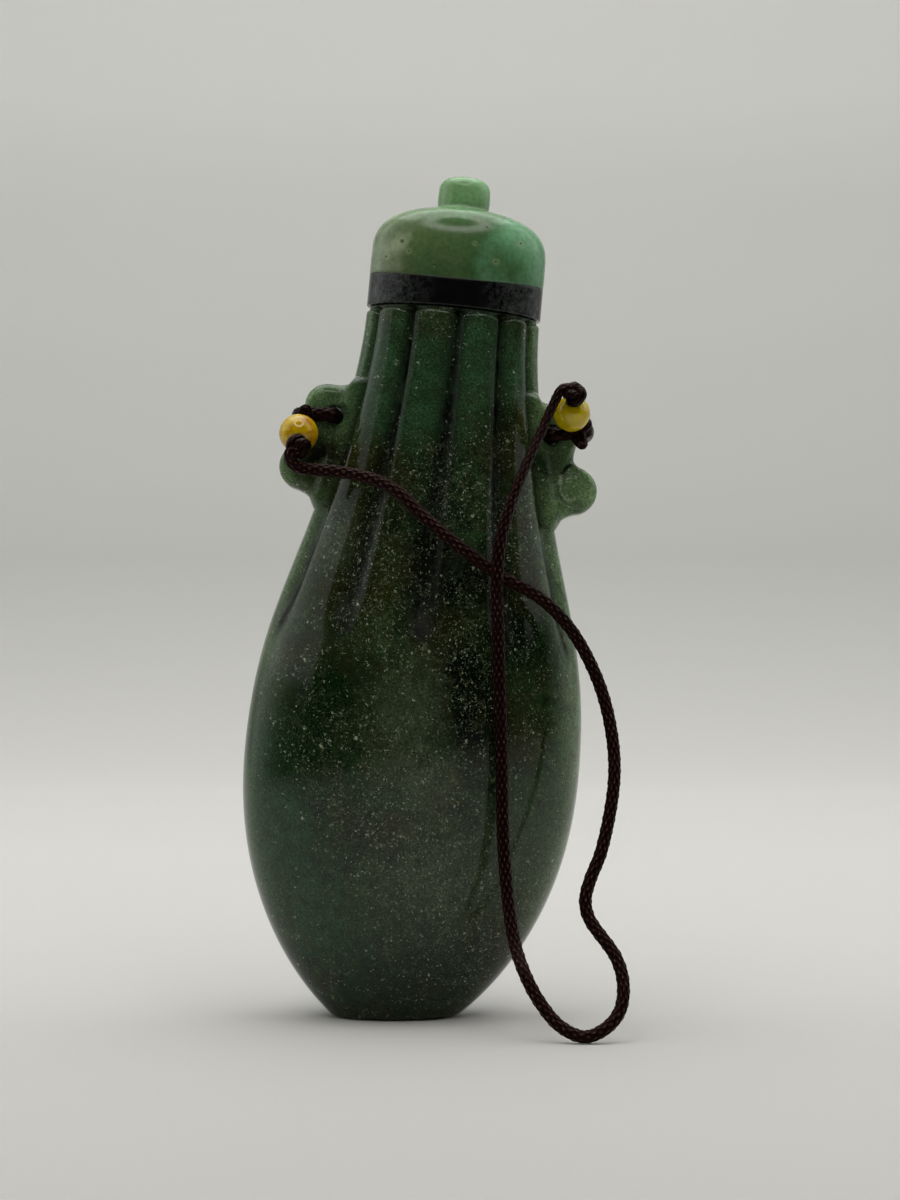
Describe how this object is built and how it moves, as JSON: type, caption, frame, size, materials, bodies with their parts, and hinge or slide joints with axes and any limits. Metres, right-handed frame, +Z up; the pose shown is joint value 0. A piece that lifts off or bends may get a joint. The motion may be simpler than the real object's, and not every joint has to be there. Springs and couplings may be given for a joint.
{
  "type": "snuff bottle",
  "caption": "Slender leaning stone snuff bottle with a lobed neck, pierced side handles, a domed stopper, and a braided cord with a bead and a knot at each end.",
  "frame": {"origin": "centre of the underside of the foot, on the surface that the bottle stands on", "axes": "+Z up, +X to the right of the carved front with its cord, +Y to the back"},
  "size_m": [0.0393, 0.0295, 0.0882],
  "materials": {
    "green_stone": "polished, mottled dark green",
    "black_stone": "satin, near black",
    "pale_green_stone": "polished, clear green",
    "amber": "polished, cloudy yellow",
    "silk": "braided, maroon"
  },
  "bodies": {
    "root": {"bottle_body": "green_stone", "stopper_collar": "black_stone", "stopper_cap": "pale_green_stone", "bead_left": "amber", "bead_right": "amber", "cord": "silk"}
  },
  "joints": []
}
